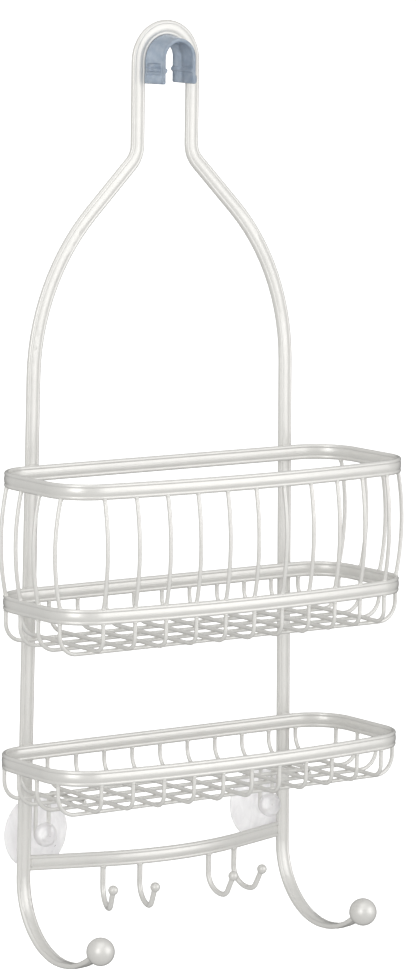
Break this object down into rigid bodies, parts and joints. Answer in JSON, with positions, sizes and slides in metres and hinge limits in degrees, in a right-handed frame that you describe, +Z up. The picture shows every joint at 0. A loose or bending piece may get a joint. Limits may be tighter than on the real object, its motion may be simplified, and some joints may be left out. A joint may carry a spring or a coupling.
{
  "type": "shower caddy",
  "caption": "Hanging shower caddy that grips a shower arm, with a deep and a shallow wire basket, big and small hooks, and suction cups for the wall.",
  "frame": {"origin": "middle of the shower arm seat in the grip, on the arm's axis and on the mid-plane of the hanger frame", "axes": "+Z up along the hanging caddy, -Y out of the wall into the room along the shower arm, +X to the right seen from the room"},
  "size_m": [0.2852, 0.1201, 0.6081],
  "materials": {
    "pearl_strip": "satin pearl",
    "pearl_wire": "satin pearl",
    "pearl_ball": "satin pearl",
    "clear_vinyl": "clear, soft, glossy",
    "clear_grip": "clear, slightly blue, soft"
  },
  "bodies": {
    "caddy": {"arm_grip": "clear_grip", "crossbar": "pearl_strip", "cup_loop_left": "pearl_wire", "cup_loop_right": "pearl_wire", "front_wall_wire_01": "pearl_wire", "front_wall_wire_02": "pearl_wire", "front_wall_wire_03": "pearl_wire", "front_wall_wire_04": "pearl_wire", "front_wall_wire_05": "pearl_wire", "front_wall_wire_06": "pearl_wire", "front_wall_wire_07": "pearl_wire", "front_wall_wire_08": "pearl_wire", "front_wall_wire_09": "pearl_wire", "front_wall_wire_10": "pearl_wire", "front_wall_wire_11": "pearl_wire", "hanger_frame": "pearl_strip", "hook_ball_left": "pearl_ball", "hook_ball_right": "pearl_ball", "left_end_wall_wires": "pearl_wire", "lower_basket_rim": "pearl_strip", "lower_cross_wire_01": "pearl_wire", "lower_cross_wire_02": "pearl_wire", "lower_cross_wire_03": "pearl_wire", "lower_cross_wire_04": "pearl_wire", "lower_cross_wire_05": "pearl_wire", "lower_cross_wire_06": "pearl_wire", "lower_cross_wire_07": "pearl_wire", "lower_cross_wire_08": "pearl_wire", "lower_cross_wire_09": "pearl_wire", "lower_cross_wire_10": "pearl_wire", "lower_cross_wire_11": "pearl_wire", "lower_long_wire_1": "pearl_wire", "lower_long_wire_2": "pearl_wire", "lower_long_wire_3": "pearl_wire", "lower_long_wire_4": "pearl_wire", "right_end_wall_wires": "pearl_wire", "small_hook_1": "pearl_wire", "small_hook_2": "pearl_wire", "small_hook_3": "pearl_wire", "small_hook_4": "pearl_wire", "small_hook_balls": "pearl_ball", "upper_basket_middle_rim": "pearl_strip", "upper_basket_top_rim": "pearl_strip", "upper_cross_wire_01": "pearl_wire", "upper_cross_wire_02": "pearl_wire", "upper_cross_wire_03": "pearl_wire", "upper_cross_wire_04": "pearl_wire", "upper_cross_wire_05": "pearl_wire", "upper_cross_wire_06": "pearl_wire", "upper_cross_wire_07": "pearl_wire", "upper_cross_wire_08": "pearl_wire", "upper_cross_wire_09": "pearl_wire", "upper_cross_wire_10": "pearl_wire", "upper_cross_wire_11": "pearl_wire", "upper_long_wire_1": "pearl_wire", "upper_long_wire_2": "pearl_wire", "upper_long_wire_3": "pearl_wire", "upper_long_wire_4": "pearl_wire"},
    "left_cup": {"suction_cup_left": "clear_vinyl"},
    "right_cup": {"suction_cup_right": "clear_vinyl"}
  },
  "joints": [
    {"name": "left_cup_slide", "type": "slide", "parent": "caddy", "child": "left_cup", "axis": [0, 0, 1], "range_m": [0, 0.015]},
    {"name": "right_cup_slide", "type": "slide", "parent": "caddy", "child": "right_cup", "axis": [0, 0, 1], "range_m": [0, 0.015]}
  ]
}
